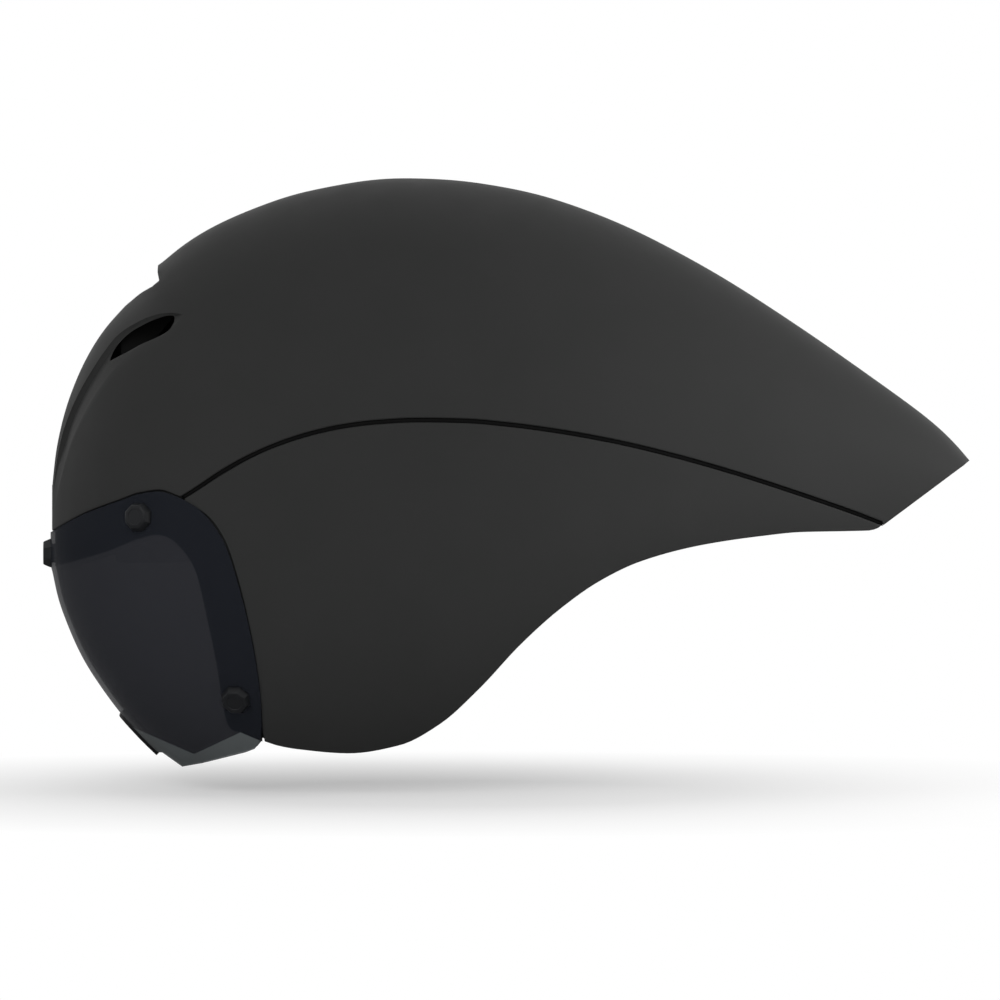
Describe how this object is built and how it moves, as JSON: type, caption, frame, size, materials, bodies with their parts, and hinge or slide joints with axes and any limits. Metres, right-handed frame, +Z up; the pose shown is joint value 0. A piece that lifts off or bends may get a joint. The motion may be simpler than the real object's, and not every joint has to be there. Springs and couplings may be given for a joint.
{
  "type": "aero time trial helmet",
  "caption": "Long-tailed aero cycling helmet with side covers over the ears, a magnetic wrap-round lens and a dial fit system.",
  "frame": {"origin": "middle of the head opening, on the plane of symmetry, at the height of the brow rim", "axes": "+Z up, -X forward (the way the rider faces), the rider's left is -Y"},
  "size_m": [0.3619, 0.198, 0.2293],
  "materials": {
    "shell_charcoal": "fine matte paint over moulded polycarbonate",
    "cover_charcoal": "fine matte paint",
    "seal_black": "soft black seal",
    "foam_black": "moulded bead foam",
    "pin_nylon": "moulded nylon",
    "magnet_nickel": "nickel plated magnet",
    "lens_smoke": "smoke tinted polycarbonate, polished",
    "band_black": "dark gloss border",
    "stud_black": "satin black moulding",
    "nose_rubber": "soft rubber",
    "pad_fabric": "brushed knit over soft foam",
    "fit_nylon": "moulded nylon",
    "dial_rubber": "grippy moulding",
    "steel": "plain steel",
    "webbing": "woven flat webbing",
    "buckle_black": "moulded acetal"
  },
  "bodies": {
    "helmet": {"upper_shell": "shell_charcoal", "left_side_cover": "cover_charcoal", "right_side_cover": "cover_charcoal", "left_seam_seal": "seal_black", "right_seam_seal": "seal_black", "foam_liner": "foam_black", "cover_push_pins": "pin_nylon", "shell_magnets": "magnet_nickel", "brow_pad": "pad_fabric", "crown_pad": "pad_fabric", "left_side_pad": "pad_fabric", "right_side_pad": "pad_fabric", "left_ear_pad": "pad_fabric", "right_ear_pad": "pad_fabric", "fit_cradle": "fit_nylon", "cradle_clips": "fit_nylon", "cradle_pad": "pad_fabric", "temple_pins": "pin_nylon", "left_front_strap": "webbing", "right_front_strap": "webbing", "left_rear_strap": "webbing", "right_rear_strap": "webbing", "left_strap_divider": "buckle_black", "right_strap_divider": "buckle_black", "strap_rivets": "steel", "chin_strap_left": "webbing", "buckle_socket": "buckle_black", "strap_keeper": "nose_rubber"},
    "visor": {"goggle_lens": "lens_smoke", "lens_border_band": "band_black", "lens_studs": "stud_black", "stud_magnets": "magnet_nickel", "nose_bridge": "nose_rubber"},
    "dial": {"fit_dial": "dial_rubber", "dial_shaft": "fit_nylon", "dial_screw": "steel"},
    "left_band": {"left_fit_band": "fit_nylon"},
    "right_band": {"right_fit_band": "fit_nylon"},
    "left_cam": {"left_divider_cam": "buckle_black"},
    "right_cam": {"right_divider_cam": "buckle_black"},
    "tongue": {"buckle_tongue": "buckle_black", "chin_strap_right": "webbing", "chin_pad": "pad_fabric"}
  },
  "joints": [
    {"name": "visor_pull", "type": "slide", "parent": "helmet", "child": "visor", "axis": [-1, 0, 0], "range_m": [0, 0.06]},
    {"name": "dial_turn", "type": "hinge", "parent": "helmet", "child": "dial", "pos_m": [0.1095, 0, 0.02], "axis": [1, 0, 0], "range_deg": [-42, 42]},
    {"name": "left_band_slide", "type": "slide", "parent": "helmet", "child": "left_band", "axis": [0, -1, 0], "range_m": [-0.003, 0.003]},
    {"name": "right_band_slide", "type": "slide", "parent": "helmet", "child": "right_band", "axis": [0, 1, 0], "range_m": [-0.003, 0.003]},
    {"name": "left_cam_lift", "type": "hinge", "parent": "helmet", "child": "left_cam", "pos_m": [-0.003, -0.0479, -0.04612], "axis": [-1, 0, 0], "range_deg": [0, 90]},
    {"name": "right_cam_lift", "type": "hinge", "parent": "helmet", "child": "right_cam", "pos_m": [-0.003, 0.0479, -0.04612], "axis": [1, 0, 0], "range_deg": [0, 90]},
    {"name": "buckle_pull", "type": "slide", "parent": "helmet", "child": "tongue", "axis": [0, 1, 0], "range_m": [0, 0.014]}
  ],
  "couplings": [
    {"joint": "left_band_slide", "follows": "dial_turn", "m_per_rad": 0.004},
    {"joint": "right_band_slide", "follows": "dial_turn", "m_per_rad": 0.004}
  ]
}
